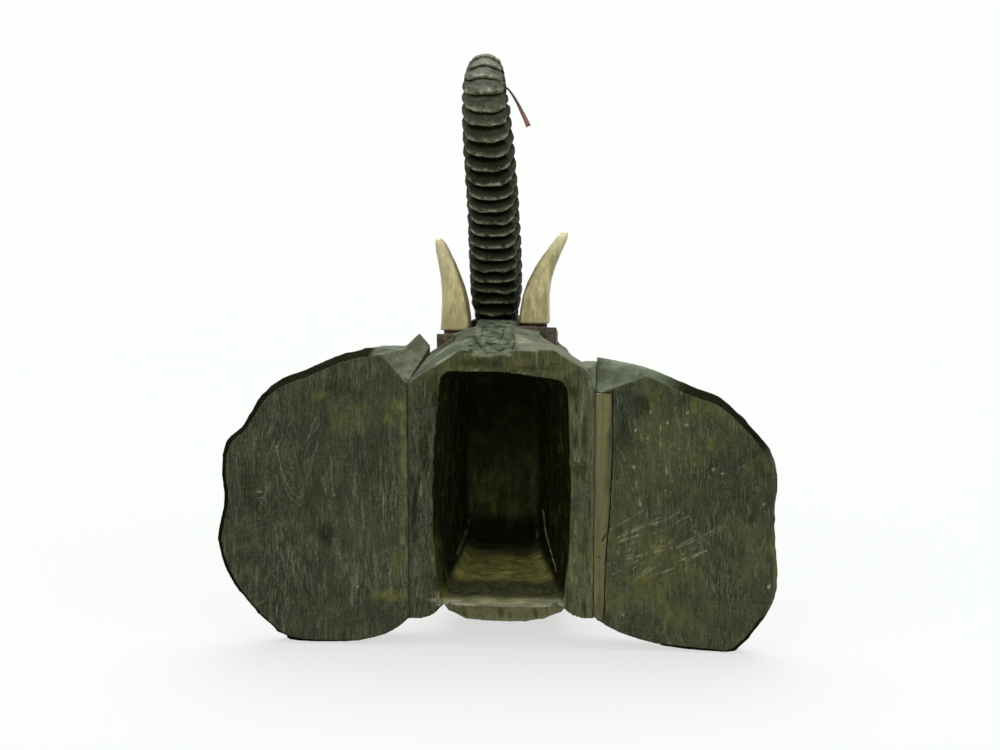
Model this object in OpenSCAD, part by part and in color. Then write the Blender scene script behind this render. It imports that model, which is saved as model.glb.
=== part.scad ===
// Carved wooden elephant head with a hollowed back, resting on its ears and crown with the trunk raised.
// Millimetres. +X to the right seen from behind, +Y towards the face, +Z up along the trunk.
// The pieces are drawn with the flat back at Y = 0, and placed() then moves them to the part's own frame.

/* [Head] */
// Depth of the head block from its flat back to the front of the forehead
head_depth = 192; // [185:1:200]
// Height of the flat seat that the trunk stands on
trunk_seat = 316; // [314:1:318]
// Depth of the hollow in the back
hollow_depth = 112; // [90:2:116]

/* [Ears] */
// Thickness of each ear at its glued joint
ear_root = 52; // [46:1:54]
// Thickness of each ear at its outer edge
ear_edge = 17; // [12:1:22]
// How far the hewn edge is chamfered towards the back
ear_chamfer = 6; // [2:1:8]

/* [Trunk] */
// Number of carved rings from the head to the tip
ring_count = 27; // [20:1:30]
// How far the lip of each ring stands out beyond the groove above it
ring_step = 3; // [1:0.5:4]

/* [Tusks] */
// Radius of the round peg turned on each tusk
peg_r = 9; // [7:0.5:10]
// Length of the peg
peg_len = 22; // [16:1:23]
// Gap that shows between each tusk and its socket
seat_gap = 1.5; // [0.5:0.5:2]

/* [Thong] */
// Width of the leather thong
thong_w = 5; // [3:0.5:5]
// Thickness of the leather thong
thong_t = 1.6; // [1:0.2:2]

/* [Hidden] */

wood = [0.17, 0.18, 0.13];
bare_wood = [0.42, 0.36, 0.22];
lip_wood = [0.42, 0.29, 0.25];
horn = [0.62, 0.56, 0.36];
leather = [0.36, 0.17, 0.10];
big = 400;
eps = 0.5;

// The head block is symmetrical about this plane, and its glued sides are here at the back.
head_mid = 5;
left_joint = -87;
right_joint = 97;
// The left joint leans inwards towards the face.
left_joint_lean = 20;
// Height of each rail's rounded foot, left and right.
rail_foot = [28, 32];
rail_reach = 55;
rail_top = 305;

// Sections of the head: depth as a share of the whole, half width, top, bottom, squareness, and how far
// the section narrows towards the trunk.
head_sections = [
    [-0.03, 74, 303, 42, 4.4, 0],
    [0.04, 76, 305, 40, 4.4, 0],
    [0.16, 78, 308, 20, 4.2, 0],
    [0.30, 80, 312, 8, 4.2, 0.01],
    [0.46, 80, 322, 0, 3.4, 0.08],
    [0.60, 78, 321, -2, 2.9, 0.18],
    [0.72, 73, 308, 0, 2.6, 0.28],
    [0.83, 64, 280, 10, 2.4, 0.36],
    [0.92, 49, 242, 32, 2.2, 0.42],
    [0.98, 28, 196, 66, 2.1, 0.42],
    [1.00, 10, 156, 102, 2, 0.42]
];
// Sections of the hollow: depth as a share of the whole, left, right, bottom, top and corner radius.
hollow_sections = [
    [-0.05, -63, 75, 44, 282, 9],
    [0.00, -62, 73, 47, 281, 9],
    [0.08, -60, 70, 52, 280, 9],
    [0.20, -57, 66, 56, 277, 10],
    [0.60, -46, 50, 68, 267, 13],
    [0.95, -38, 38, 80, 257, 16],
    [1.00, -34, 34, 84, 253, 14]
];
// The top of the hollow slopes down to the right by this share, starting here.
hollow_slope = 0.14;
hollow_slope_x = 14;
// Its sides lean inwards above and below these heights, by these shares: left above, right above, both below.
hollow_waist = [110, 190];
hollow_lean = [0.1, 0.04, 0.1];

// Ear outlines seen from behind, anticlockwise, each starting and ending inside the head block.
left_outline = [
    [-60, 303], [-92, 298], [-113, 300], [-150, 295], [-188, 279], [-212, 270], [-232, 254], [-242, 238],
    [-253, 222], [-264, 213], [-272, 197], [-274, 172], [-272, 148], [-280, 106], [-272, 73], [-252, 40],
    [-220, 7], [-198, -1], [-168, -2], [-138, 0], [-108, 10], [-86, 28], [-60, 60]
];
right_outline = [
    [80, 60], [97, 33], [121, 17], [143, 8], [168, 2], [218, -2], [238, 0], [261, 26], [276, 56],
    [278, 84], [274, 128], [275, 158], [275, 182], [267, 208], [241, 238], [217, 258], [196, 265],
    [165, 277], [143, 284], [120, 287], [97, 288.5], [60, 289]
];
left_ear_mid = [-175, 150];
right_ear_mid = [180, 145];
ear_reach = 190;
// The back top corner of each ear is pared away in one plane: a point on it, and its outward direction.
left_pare = [[-87, 0, 268], [0.64, -0.55, 0.54]];
right_pare = [[102, 0, 263], [-0.31, -0.46, 0.83]];
// The shoulders of the head are planed flat in the same way, from the rim up towards the sockets.
left_shoulder = [[-62, 50, 295], [-0.54, -0.16, 0.83]];
right_shoulder = [[60, 50, 297], [0.53, 0.09, 0.84]];
right_corner = [[97, 0, 265], [0.81, -0.26, 0.53]];
// Small square remnant left standing in the corner between the right shoulder and the ear.
remnant_x = 84;
remnant_top = 284;

dowel_r = 6;
dowel_fit = 0.05;
dowel_in_head = 16;
dowel_in_ear = 28;
dowel_y = 24;
dowel_heights = [70, 150, 230];

strip_t = 7;
strip_outline = [[right_joint, 34], [107, 30], [108, 90], [112, 150], [114, 210], [113, 262], [right_joint, 262]];

// Centre line of the trunk with half width and half depth, from its seat to its tip.
trunk_line = [
    [[-6.5, 100, 316], 20, 26],
    [[-6.5, 100, 343], 25, 29.5],
    [[-7, 99, 371], 25.5, 30],
    [[-8, 96.5, 399], 25.5, 29.5],
    [[-9, 93, 427], 25, 28.5],
    [[-10.5, 89, 456], 25, 28],
    [[-12.5, 84, 488], 24.5, 27],
    [[-14.5, 80, 519], 23.5, 25],
    [[-16.5, 82, 545], 21.5, 22.5],
    [[-17.5, 96, 561], 18.5, 19.5],
    [[-18, 115, 562], 16.5, 17],
    [[-18, 131, 551], 14.5, 14.5],
    [[-18, 137, 531], 12.5, 12]
];
trunk_sides = 28;
// How far the lips sag on the side away from the face, at the seat and near the tip.
lip_sag = [5, 8];
// The trunk is squarer near the head and round at the bend.
trunk_square = [2.8, 2];
trunk_dowel_r = 8;
trunk_dowel_len = 60;
nostril_r = 2.6;
nostril_depth = 9;

// Tusks, left then right: middle of the peg, height of the socket's top, and how far the tip leans outwards.
tusk_y = 74;
tusk_x = [-45, 34];
socket_top = [309, 317];
tusk_lean = [18, 29];
// Middle of each socket, which is wider than the tusk that stands on it.
socket_x = [-43.5, 37];
socket_h = 24;
socket_w = 39;
socket_d = 40;
// The tusk stands on a round boss. The rest of the socket's top falls away, by these shares, outwards and
// towards the face.
boss_r = 12.5;
socket_fall = [0.03, 0.3];
peg_fit = 0.1;
// Tusk sections: height above its base, lean as a share of the whole, shift back, half width, squareness.
tusk_line = [
    [0, 0, 0, 15.3, 7], [12, 0, 0, 14.8, 5], [26, 0.04, 1, 13.7, 3.6], [40, 0.15, 3, 12, 3],
    [54, 0.34, 6, 10.3, 2.6], [66, 0.56, 9, 8.9, 2.4], [77, 0.79, 12, 7.4, 2.2],
    [84, 0.93, 14, 5.8, 2], [88, 1, 15, 3.4, 2]
];

// Route of the thong: it starts in its hole in the trunk, bends out and hangs to a cut end.
thong_route = [[-4, 80, 551], [1, 80, 551], [6, 79, 549], [11, 78, 543], [16, 77, 535], [20, 77, 527],
               [24, 77, 519], [27, 77, 512]];
thong_hole_r = 3.2;
thong_turn = 80;
thong_root_w = 3;

function unit(v) = v / norm(v);
function joined(lists) = [for (l = lists) each l];
// Point on a smooth curve that passes through four neighbours, between the middle two.
function curve(a, b, c, d, t) =
    0.5 * (2 * b + (c - a) * t + (2 * a - 5 * b + 4 * c - d) * t * t + (3 * b - a - 3 * c + d) * t * t * t);
function at(list, u) =
    let (last = len(list) - 1, i = max(0, min(last - 1, floor(u))), t = u - i)
    curve(list[max(0, i - 1)], list[i], list[i + 1], list[min(last, i + 2)], t);
// Closed outline with each stretch of the given points cut in two along a smooth curve.
function rounded(list) =
    let (n = len(list))
    [for (i = [0:n - 1], t = [0, 0.5])
        curve(list[(i + n - 1) % n], list[i], list[(i + 1) % n], list[(i + 2) % n], t)];
// Distance from the middle to the edge of a rounded oblong, in the direction of angle a.
function reach(a, w, h, power) = pow(pow(abs(cos(a)) / w, power) + pow(abs(sin(a)) / h, power), -1 / power);
function oblong(count, w, h, power) =
    [for (i = [0:count - 1]) let (a = 360 * i / count, r = reach(a, w, h, power)) [r * cos(a), r * sin(a)]];

// Rectangle with round corners, anticlockwise, with three more points along each side.
function cornered(w, h, r) = joined([for (side = [0:3])
    let (
        middle = [(side == 0 || side == 3 ? 1 : -1) * (w - r), (side < 2 ? 1 : -1) * (h - r)],
        arc = [for (a = [0:18:90]) middle + r * [cos(90 * side + a), sin(90 * side + a)]],
        end = arc[len(arc) - 1],
        next = side % 2 == 0 ? [-middle[0], end[1]] : [end[0], -middle[1]]
    )
    concat(arc, [for (k = [0.25, 0.5, 0.75]) end * (1 - k) + next * k])]);

// Closed solid through a list of rings with equal counts, closed at both ends to a middle point.
module loft(rings, first_mid, last_mid) {
    n = len(rings[0]);
    m = len(rings);
    points = concat(joined(rings), [first_mid, last_mid]);
    sides = joined([for (i = [0:m - 2], j = [0:n - 1])
        let (a = i * n + j, b = i * n + (j + 1) % n, c = a + n, d = b + n) [[a, b, d], [a, d, c]]]);
    first_cap = [for (j = [0:n - 1]) [(j + 1) % n, j, n * m]];
    last_cap = [for (j = [0:n - 1]) [(m - 1) * n + j, (m - 1) * n + (j + 1) % n, n * m + 1]];
    polyhedron(points, concat(sides, first_cap, last_cap), convexity = 8);
}

// Sets the whole object so that the origin is under the middle of its box.
module placed() {
    translate([0, -head_depth / 2, 0]) children();
}

// Everything beyond a plane through point p, on the side that direction v points to.
module beyond(p, v) {
    d = unit(v);
    translate(p) rotate([0, acos(d.z), atan2(d.y, d.x)])
        translate([-big / 2, -big / 2, 0]) cube([big, big, big]);
}

module behind_back() {
    translate([-big, -big, -big / 2]) cube([2 * big, big, 3 * big]);
}

module below_floor() {
    translate([-big, -big, -big]) cube([2 * big, 2 * big, big]);
}

// Everything on the ear's side of the left joint.
module left_of_joint() {
    translate([left_joint, 0, -big / 2]) rotate([0, 0, -left_joint_lean])
        translate([-big, -big / 4, 0]) cube([big, big / 4 + ear_root / cos(left_joint_lean), 2 * big]);
}

module left_dowel_row(r) {
    for (z = dowel_heights)
        translate([left_joint + dowel_y * tan(left_joint_lean) - dowel_in_ear, dowel_y, z]) rotate([0, 90, 0])
            cylinder(r = r, h = dowel_in_ear + dowel_in_head, $fn = 48);
}

module right_dowel_row(r) {
    for (z = dowel_heights)
        translate([right_joint - dowel_in_head, dowel_y, z]) rotate([0, 90, 0])
            cylinder(r = r, h = dowel_in_ear + dowel_in_head, $fn = 48);
}

module head_skin() {
    rings = [for (s = head_sections)
        let (middle = (s[2] + s[3]) / 2, y = s[0] * head_depth)
        [for (p = oblong(48, s[1], (s[2] - s[3]) / 2, s[4]))
            let (rise = 2 * p[1] / (s[2] - s[3]))
            [head_mid + p[0] * (1 - s[5] * max(0, rise + 0.2)), y, middle + p[1]]]];
    first = head_sections[0];
    last = head_sections[len(head_sections) - 1];
    loft(rings, [head_mid, first[0] * head_depth, (first[2] + first[3]) / 2],
         [head_mid, last[0] * head_depth, (last[2] + last[3]) / 2]);
}

module hollow() {
    rings = [for (s = hollow_sections)
        [for (p = cornered((s[2] - s[1]) / 2, (s[4] - s[3]) / 2, s[5]))
            let (
                x = (s[1] + s[2]) / 2 + p[0],
                z = (s[3] + s[4]) / 2 + p[1],
                upper = p[0] < 0 ? hollow_lean[0] : -hollow_lean[1],
                lower = p[0] < 0 ? hollow_lean[2] : -hollow_lean[2],
                lean = upper * max(0, z - hollow_waist[1]) + lower * max(0, hollow_waist[0] - z),
                drop = p[1] > 0 ? hollow_slope * max(0, x - hollow_slope_x) : 0
            )
            [x + lean * min(1, abs(p[0]) / 20), s[0] * hollow_depth, z - drop]]];
    first = hollow_sections[0];
    last = hollow_sections[len(hollow_sections) - 1];
    loft(rings, [(first[1] + first[2]) / 2, first[0] * hollow_depth, (first[3] + first[4]) / 2],
         [(last[1] + last[2]) / 2, last[0] * hollow_depth, (last[3] + last[4]) / 2]);
}

// Square-edged rail down one side of the back, which the ear is glued to.
module rail(x, inwards, foot) {
    translate([x, ear_root, 0]) rotate([90, 0, 0]) linear_extrude(ear_root + 5)
        polygon([[0, foot], [inwards * 11, foot], [inwards * 20, foot + 2.5], [inwards * 27, foot + 7],
                 [inwards * 33, foot + 13.5], [inwards * rail_reach, 60], [inwards * rail_reach, rail_top],
                 [0, rail_top]]);
}

module remnant() {
    difference() {
        translate([remnant_x, -1, 200]) cube([right_joint - remnant_x, ear_root + 1, remnant_top - 200]);
        beyond(right_corner[0], right_corner[1]);
    }
}

// Rough wedge of wood under the trunk, wide in front of the sockets and narrower at the rim and the trunk.
module chin() {
    hull() {
        translate([-32, -4, 270]) cube([56, 2, 27]);
        translate([-20, 40, 290]) cube([32, 8, 26]);
        translate([-46, 50, 290]) cube([10, 3, 19]);
        translate([32, 50, 290]) cube([10, 3, 23]);
        translate([-21, 66, 290]) cube([33, 8, 30]);
    }
}

module socket_block(side, grow) {
    translate([socket_x[side] - socket_w / 2, tusk_y - socket_d / 2, socket_top[side] - socket_h])
        cube([socket_w, socket_d, socket_h + grow]);
}

module eye_mound(side) {
    translate([head_mid + side * 48, 124, 222]) sphere(r = 26, $fn = 48);
}

module head_block() {
    color(wood) difference() {
        union() {
            difference() {
                union() {
                    head_skin();
                    rail(left_joint, 1, rail_foot[0]);
                    rail(right_joint, -1, rail_foot[1]);
                }
                beyond(left_shoulder[0], left_shoulder[1]);
                beyond(right_shoulder[0], right_shoulder[1]);
                beyond(right_corner[0], right_corner[1]);
            }
            remnant();
            chin();
            for (side = [-1, 1]) eye_mound(side);
        }
        hollow();
        behind_back();
        below_floor();
        left_of_joint();
        for (side = [0, 1]) socket_block(side, big);
        translate([-40, 73, trunk_seat]) cube([66, 70, big]);
        left_dowel_row(dowel_r + dowel_fit);
        right_dowel_row(dowel_r + dowel_fit);
        trunk_peg(trunk_dowel_r + dowel_fit);
    }
}

// Ear board: flat back, chamfered hewn edge, and a front that thins from the head outwards.
module ear_board(outline, middle, joint_x) {
    edge = rounded(outline);
    // The edge is rounded over less and less towards the joint, where it stays sharp.
    function softness(x) = min(1, 0.15 + abs(x - joint_x) / 90);
    function inset(d) = [for (p = edge) p + d * softness(p[0]) * unit(middle - p)];
    function shrunk(k) = [for (p = edge) middle + k * (p - middle)];
    function outward(x) = max(0, joint_x < 0 ? joint_x - x : x - joint_x);
    function thickness(x) = ear_edge + (ear_root - ear_edge) * pow(1 - min(1, outward(x) / ear_reach), 2);
    function front(list, share) = [for (p = list) [p[0], share * thickness(p[0]), p[1]]];
    rings = [
        [for (p = inset(ear_chamfer)) [p[0], 0, p[1]]],
        front(edge, 0.4),
        front(inset(1), 0.85),
        front(inset(5), 1),
        front(shrunk(0.7), 1),
        front(shrunk(0.35), 1)
    ];
    loft(rings, [middle[0], 0, middle[1]], [middle[0], thickness(middle[0]), middle[1]]);
}

module left_ear() {
    color(wood) difference() {
        intersection() {
            ear_board(left_outline, left_ear_mid, left_joint);
            left_of_joint();
        }
        beyond(left_pare[0], left_pare[1]);
        below_floor();
        left_dowel_row(dowel_r + dowel_fit);
    }
}

module right_ear() {
    color(wood) difference() {
        ear_board(right_outline, right_ear_mid, right_joint);
        translate([right_joint - big, -big / 2, -big / 2]) cube([big, big, 2 * big]);
        beyond(right_pare[0], right_pare[1]);
        below_floor();
        right_dowel_row(dowel_r + dowel_fit);
        strip_solid(1);
    }
}

module strip_solid(behind) {
    translate([0, strip_t, 0]) rotate([90, 0, 0]) linear_extrude(strip_t + behind) polygon(strip_outline);
}

module right_joint_strip() {
    color(bare_wood) strip_solid(0);
}

module left_ear_dowels() {
    color(bare_wood) left_dowel_row(dowel_r);
}

module right_ear_dowels() {
    color(bare_wood) right_dowel_row(dowel_r);
}

// Ring of the trunk at place u on its centre line, drawn in or out by grow.
function trunk_ring(u, grow) =
    let (
        row = [for (k = [0:2]) at([for (s = trunk_line) s[k]], u)],
        ahead = unit(at([for (s = trunk_line) s[0]], u + 0.05) - at([for (s = trunk_line) s[0]], u - 0.05)),
        back = unit(cross([1, 0, 0], ahead)),
        share = u / (len(trunk_line) - 1),
        sag = (lip_sag[0] + (lip_sag[1] - lip_sag[0]) * share) * min(1, 6 * share) * min(1, 4 * (1 - share))
    )
    [for (p = oblong(trunk_sides, row[1] + grow, row[2] + grow,
                     trunk_square[0] + (trunk_square[1] - trunk_square[0]) * min(1, 1.4 * share)))
        row[0] + [p[0], 0, 0] + back * p[1] - ahead * sag * pow(max(0, p[1] / row[2]), 1.5)];

module trunk_body() {
    last = len(trunk_line) - 1;
    rings = [for (i = [0:ring_count - 1], k = [0, 1])
        trunk_ring((i + k * 0.94) * last / ring_count, k == 0 ? 0 : -ring_step)];
    tip = trunk_ring(last, -ring_step - 1);
    loft(concat(rings, [tip]), trunk_line[0][0], trunk_line[last][0]);
}

module trunk_peg(r) {
    foot = trunk_line[0][0];
    translate([foot.x, foot.y, trunk_seat - trunk_dowel_len / 2]) cylinder(r = r, h = trunk_dowel_len, $fn = 64);
}

module trunk() {
    tip = trunk_line[len(trunk_line) - 1][0];
    color(wood) difference() {
        trunk_body();
        translate([-big / 2, -big / 2, trunk_seat - big]) cube([big, big, big]);
        trunk_peg(trunk_dowel_r + dowel_fit);
        for (side = [-1, 1])
            translate([tip.x + side * 5, tip.y, tip.z - 1]) cylinder(r = nostril_r, h = nostril_depth, $fn = 24);
        translate([thong_route[0].x, thong_route[0].y, thong_route[0].z]) rotate([0, 90, 0])
            cylinder(r = thong_hole_r, h = 30, $fn = 32);
    }
}

module trunk_dowel() {
    color(bare_wood) trunk_peg(trunk_dowel_r);
}

module tusk_socket(side) {
    outwards = side == 0 ? -1 : 1;
    foot = [tusk_x[side], tusk_y, socket_top[side] - socket_h];
    rear = [socket_x[side], tusk_y - socket_d / 2, socket_top[side]];
    color(lip_wood) difference() {
        union() {
            difference() {
                socket_block(side, 0);
                beyond(rear, [outwards * socket_fall.x, socket_fall.y, 1]);
            }
            translate(foot) cylinder(r = boss_r, h = socket_h, $fn = 64);
        }
        translate(foot - [0, 0, 1]) cylinder(r = peg_r + peg_fit, h = socket_h + 2, $fn = 64);
    }
}

module tusk(side) {
    lean = side == 0 ? -tusk_lean[0] : tusk_lean[1];
    base = [tusk_x[side], tusk_y, socket_top[side] + seat_gap];
    rings = [for (s = tusk_line)
        [for (p = oblong(24, s[3], s[3], s[4])) base + [lean * s[1] + p[0], s[2] - p[1], s[0]]]];
    top = tusk_line[len(tusk_line) - 1];
    color(horn) union() {
        loft(rings, base, base + [lean * top[1], top[2], top[0] + 2]);
        translate(base + [0, 0, -peg_len - seat_gap]) cylinder(r = peg_r, h = peg_len + seat_gap + eps, $fn = 64);
    }
}

module leather_thong() {
    last = len(thong_route) - 1;
    rings = [for (i = [0:last])
        let (
            ahead = unit(thong_route[min(last, i + 1)] - thong_route[max(0, i - 1)]),
            side = unit(cross(ahead, [0, 1, 0])),
            across = cross(side, ahead),
            turn = thong_turn * pow(i / last, 2),
            width = thong_root_w + (thong_w - thong_root_w) * i / last
        )
        [for (j = [0:7])
            let (a = -45 * j, w = width / 2 * cos(a), t = thong_t / 2 * sin(a))
            thong_route[i] + across * (w * cos(turn) - t * sin(turn)) + side * (w * sin(turn) + t * cos(turn))]];
    color(leather) loft(rings, thong_route[0], thong_route[last]);
}

placed() head_block();
placed() left_ear();
placed() right_ear();
placed() right_joint_strip();
placed() left_ear_dowels();
placed() right_ear_dowels();
placed() trunk();
placed() trunk_dowel();
placed() tusk_socket(0);  // left_tusk_socket
placed() tusk_socket(1);  // right_tusk_socket
placed() tusk(0);  // left_tusk
placed() tusk(1);  // right_tusk
placed() leather_thong();
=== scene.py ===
"""Carved wooden elephant head, hollow at the back, standing on its ears and crown with the trunk raised."""
import math

import bpy
import numpy as np
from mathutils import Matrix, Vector


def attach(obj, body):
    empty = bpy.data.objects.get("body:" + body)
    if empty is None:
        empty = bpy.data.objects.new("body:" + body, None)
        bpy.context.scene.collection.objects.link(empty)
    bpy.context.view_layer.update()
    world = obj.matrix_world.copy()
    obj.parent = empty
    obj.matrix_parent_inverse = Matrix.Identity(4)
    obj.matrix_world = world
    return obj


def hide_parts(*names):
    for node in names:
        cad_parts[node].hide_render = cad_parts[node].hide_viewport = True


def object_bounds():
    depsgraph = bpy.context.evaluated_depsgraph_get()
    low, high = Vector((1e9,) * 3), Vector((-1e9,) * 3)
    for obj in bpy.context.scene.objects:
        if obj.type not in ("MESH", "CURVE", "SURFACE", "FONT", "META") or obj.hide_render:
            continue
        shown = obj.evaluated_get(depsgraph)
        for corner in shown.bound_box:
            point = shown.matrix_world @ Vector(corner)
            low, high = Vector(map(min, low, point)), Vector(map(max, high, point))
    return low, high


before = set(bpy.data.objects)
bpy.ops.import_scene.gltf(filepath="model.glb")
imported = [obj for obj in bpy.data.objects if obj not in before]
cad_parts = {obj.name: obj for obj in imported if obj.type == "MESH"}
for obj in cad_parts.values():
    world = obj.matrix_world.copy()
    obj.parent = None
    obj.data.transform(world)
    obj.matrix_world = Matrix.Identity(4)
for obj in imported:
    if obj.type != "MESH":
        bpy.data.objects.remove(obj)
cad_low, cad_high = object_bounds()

MM = 0.001
# The carving's flat back. Places on the object are in millimetres from here, as in the CAD source.
BACK = cad_low[1]
scene = bpy.context.scene


# ---------------- camera, floor and light

CAMERA_TARGET = (0.0, 0.060 + BACK, 0.266)
CAMERA_DISTANCE = 2.0
CAMERA_AZIMUTH = 4
CAMERA_ELEVATION = 12
CAMERA_LENS = 72
CAMERA_SENSOR = 36

SKY_STRENGTH = 0.42
# Name, azimuth and elevation in degrees, strength, and softness as the sun's width in degrees.
SUNS = (("overhead", 185, 74, 5.6, 60), ("front_left", -40, 40, 0.75, 40), ("front_right", 50, 38, 0.75, 40))
FLOOR_SIZE = 120


def direction(azimuth, elevation):
    """Unit vector towards azimuth (0 is behind the carving, 90 on its right) and elevation, in degrees."""
    turn, rise = math.radians(azimuth), math.radians(elevation)
    return Vector((math.sin(turn) * math.cos(rise), -math.cos(turn) * math.cos(rise), math.sin(rise)))


def make_camera():
    data = bpy.data.cameras.new("camera")
    data.lens = CAMERA_LENS
    data.sensor_width = CAMERA_SENSOR
    camera = bpy.data.objects.new("camera", data)
    scene.collection.objects.link(camera)
    back = direction(CAMERA_AZIMUTH, CAMERA_ELEVATION)
    camera.location = Vector(CAMERA_TARGET) + back * CAMERA_DISTANCE
    camera.rotation_euler = (-back).to_track_quat("-Z", "Y").to_euler()
    scene.camera = camera


def make_sun(name, azimuth, elevation, strength, softness):
    data = bpy.data.lights.new(name, "SUN")
    data.energy = strength
    data.angle = math.radians(softness)
    light = bpy.data.objects.new(name, data)
    scene.collection.objects.link(light)
    light.rotation_euler = direction(azimuth, elevation).to_track_quat("Z", "Y").to_euler()


def make_studio():
    scene.view_settings.view_transform = "Standard"
    world = bpy.data.worlds.new("studio")
    scene.world = world
    world.use_nodes = True
    sky = world.node_tree.nodes["Background"]
    sky.inputs["Color"].default_value = (1, 1, 1, 1)
    sky.inputs["Strength"].default_value = SKY_STRENGTH
    for sun in SUNS:
        make_sun(*sun)
    bpy.ops.mesh.primitive_plane_add(size=FLOOR_SIZE)
    floor = bpy.context.object
    floor.name = "floor"
    floor.data.materials.append(floor_material())


# ---------------- node helpers

class Nodes:
    """Short names for building one material's nodes."""

    def __init__(self, name):
        self.material = bpy.data.materials.new(name)
        self.material.use_nodes = True
        self.tree = self.material.node_tree
        self.shader = self.tree.nodes["Principled BSDF"]
        self.place = self.tree.nodes.new("ShaderNodeTexCoord").outputs["Object"]

    def link(self, output, socket):
        self.tree.links.new(output, socket)

    def set(self, socket, value):
        if hasattr(value, "links"):
            self.link(value, socket)
        else:
            socket.default_value = value

    def stretched(self, scale, turn=0):
        """The place on the object, turned about Y by some degrees and then scaled along X, Y and Z."""
        node = self.tree.nodes.new("ShaderNodeMapping")
        node.vector_type = "TEXTURE"
        node.inputs["Rotation"].default_value = (0, math.radians(turn), 0)
        node.inputs["Scale"].default_value = [1 / s for s in scale]
        self.link(self.place, node.inputs["Vector"])
        return node.outputs["Vector"]

    def noise(self, scale, detail=3, rough=0.55, distortion=0.0, turn=0):
        """Noise with so many cells per metre along X, Y and Z."""
        node = self.tree.nodes.new("ShaderNodeTexNoise")
        self.link(self.stretched(scale, turn), node.inputs["Vector"])
        node.inputs["Scale"].default_value = 1
        node.inputs["Detail"].default_value = detail
        node.inputs["Roughness"].default_value = rough
        node.inputs["Distortion"].default_value = distortion
        return node.outputs["Fac"]

    def cells(self, scale):
        node = self.tree.nodes.new("ShaderNodeTexVoronoi")
        self.link(self.stretched(scale), node.inputs["Vector"])
        node.inputs["Scale"].default_value = 1
        return node.outputs["Distance"]

    def ramp(self, value, low, high, out_low=0.0, out_high=1.0):
        node = self.tree.nodes.new("ShaderNodeMapRange")
        node.clamp = True
        self.set(node.inputs["Value"], value)
        node.inputs["From Min"].default_value = low
        node.inputs["From Max"].default_value = high
        node.inputs["To Min"].default_value = out_low
        node.inputs["To Max"].default_value = out_high
        return node.outputs["Result"]

    def math(self, operation, a, b):
        node = self.tree.nodes.new("ShaderNodeMath")
        node.operation = operation
        self.set(node.inputs[0], a)
        self.set(node.inputs[1], b)
        return node.outputs["Value"]

    def mix(self, share, a, b):
        node = self.tree.nodes.new("ShaderNodeMix")
        node.data_type = "RGBA"
        self.set(node.inputs["Factor"], share)
        self.set(node.inputs["A"], a)
        self.set(node.inputs["B"], b)
        return node.outputs["Result"]

    def painted(self, name):
        """A number stored on the mesh's points."""
        node = self.tree.nodes.new("ShaderNodeAttribute")
        node.attribute_name = name
        return node.outputs["Fac"]

    def upward(self):
        """How much the surface faces up, from -1 to 1."""
        geometry = self.tree.nodes.new("ShaderNodeNewGeometry")
        split = self.tree.nodes.new("ShaderNodeSeparateXYZ")
        self.link(geometry.outputs["Normal"], split.inputs["Vector"])
        return split.outputs["Z"]

    def bump(self, height, distance, below=None):
        node = self.tree.nodes.new("ShaderNodeBump")
        node.inputs["Distance"].default_value = distance
        self.set(node.inputs["Height"], height)
        if below is not None:
            self.link(below, node.inputs["Normal"])
        return node.outputs["Normal"]

    def finish(self, colour, roughness, normal):
        self.set(self.shader.inputs["Base Color"], colour)
        self.set(self.shader.inputs["Roughness"], roughness)
        self.link(normal, self.shader.inputs["Normal"])
        return self.material


def colour(r, g, b):
    return (r, g, b, 1.0)


# ---------------- materials

# Directions of the fine scratches, in degrees from upright, and how many patches of them there are per metre.
SCRATCH_TURNS = ((68, 19), (-14, 15), (20, 23))

# Tones of the patina, from its shadows to the bare wood that wear lays open.
PATINA_SHADE, PATINA = colour(0.026, 0.031, 0.017), colour(0.046, 0.051, 0.024)
PALE_MOTTLE, DARK_MOTTLE = colour(0.088, 0.090, 0.038), colour(0.014, 0.020, 0.011)
PALE_STREAK, DARK_STREAK = colour(0.092, 0.096, 0.046), colour(0.009, 0.012, 0.006)
PALE_FIBRE, DARK_FIBRE = colour(0.125, 0.129, 0.072), colour(0.008, 0.010, 0.005)
PALE_SPECK, DARK_SPECK = colour(0.105, 0.110, 0.060), colour(0.010, 0.013, 0.007)
BRIGHT_SPECK = colour(0.24, 0.24, 0.16)
SCRATCH = colour(0.165, 0.170, 0.105)
OLIVE = colour(0.148, 0.148, 0.026)
# Dust on faces turned up, which also stands for painted light from above.
DUST_AND_TOP_LIGHT = colour(0.078, 0.096, 0.062)
# Pale wear and painted highlights, greyer or more golden with the olive tint.
WEAR_AND_HIGHLIGHT_GREY, WEAR_AND_HIGHLIGHT_GOLD = colour(0.30, 0.31, 0.22), colour(0.31, 0.275, 0.085)
# Near black, for painted shade in hollows and under lips and for dark marks.
SHADE_AND_MARK_BLACK = colour(0.0030, 0.0036, 0.0010)


def floor_material():
    """A pale floor that glows a little, so that shadows on it stay faint as under studio fill."""
    n = Nodes("pale_floor")
    tone = n.noise((0.6, 0.6, 0.6), 1)
    base = n.mix(tone, colour(0.126, 0.134, 0.129), colour(0.131, 0.134, 0.131))
    n.set(n.shader.inputs["Base Color"], base)
    n.shader.inputs["Roughness"].default_value = 0.9
    n.shader.inputs["Specular IOR Level"].default_value = 0.1
    n.shader.inputs["Emission Color"].default_value = colour(0.98, 1.0, 0.98)
    n.shader.inputs["Emission Strength"].default_value = 0.65
    return n.material


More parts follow.
